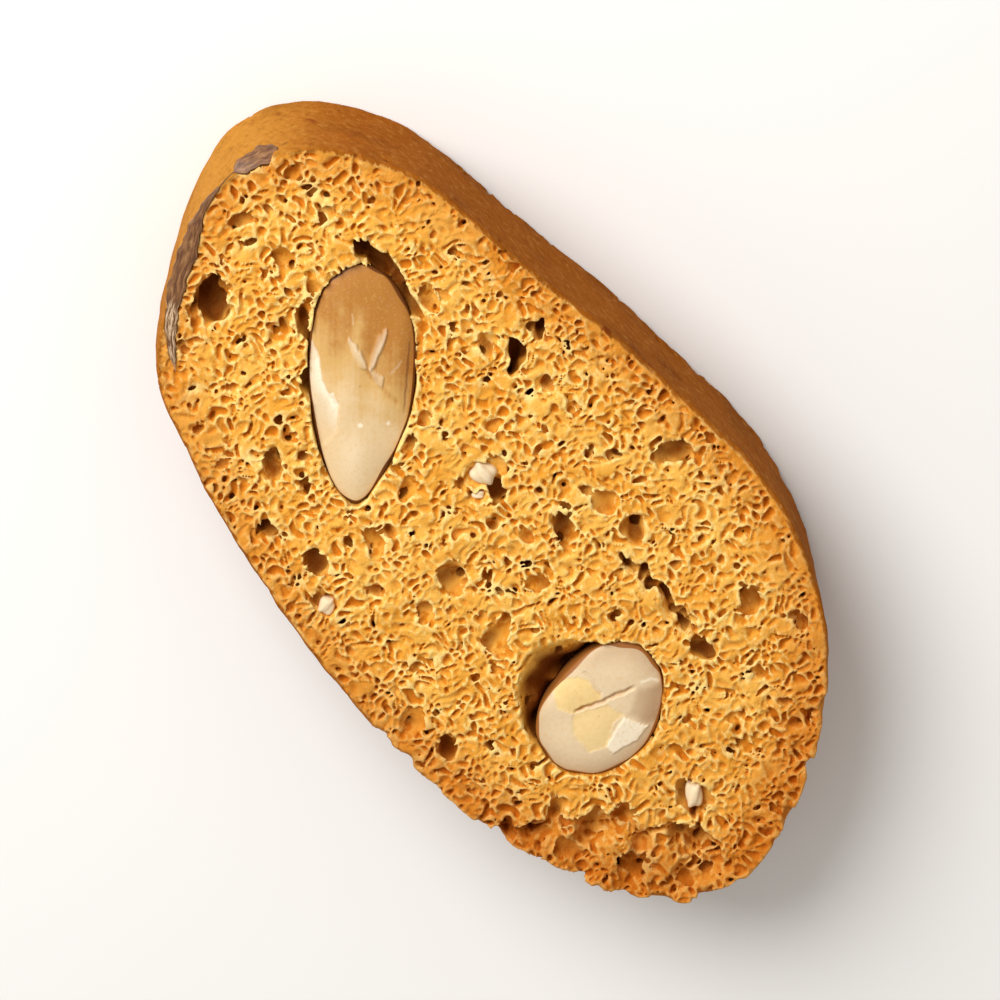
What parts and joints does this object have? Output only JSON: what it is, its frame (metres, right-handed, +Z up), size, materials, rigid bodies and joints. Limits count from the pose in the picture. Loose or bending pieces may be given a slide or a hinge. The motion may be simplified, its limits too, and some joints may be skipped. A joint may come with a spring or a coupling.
{
  "type": "almond biscotti slice",
  "caption": "Oval slice of twice-baked biscuit with an open crumb, a browned crust round its side and cut almonds in its faces.",
  "frame": {"origin": "centre of the slice's box, on the surface that its lower cut face lies on", "axes": "+X along the slice's longest side, +Y to the domed side of the loaf, +Z up out of the shown cut face"},
  "size_m": [0.0904, 0.047, 0.015],
  "materials": {
    "biscuit": "dry golden crumb with open bubbles, matte browned crust round the side",
    "almond": "cut and toasted nut, cream to tan, slightly glossy",
    "almond_skin": "thin brown skin with fine lengthwise streaks"
  },
  "bodies": {
    "root": {"biscuit": "biscuit", "almond_lengthwise": "almond", "almond_crosswise": "almond", "almond_rim": "almond_skin", "almond_under_lengthwise": "almond", "almond_under_crosswise": "almond"}
  },
  "joints": []
}
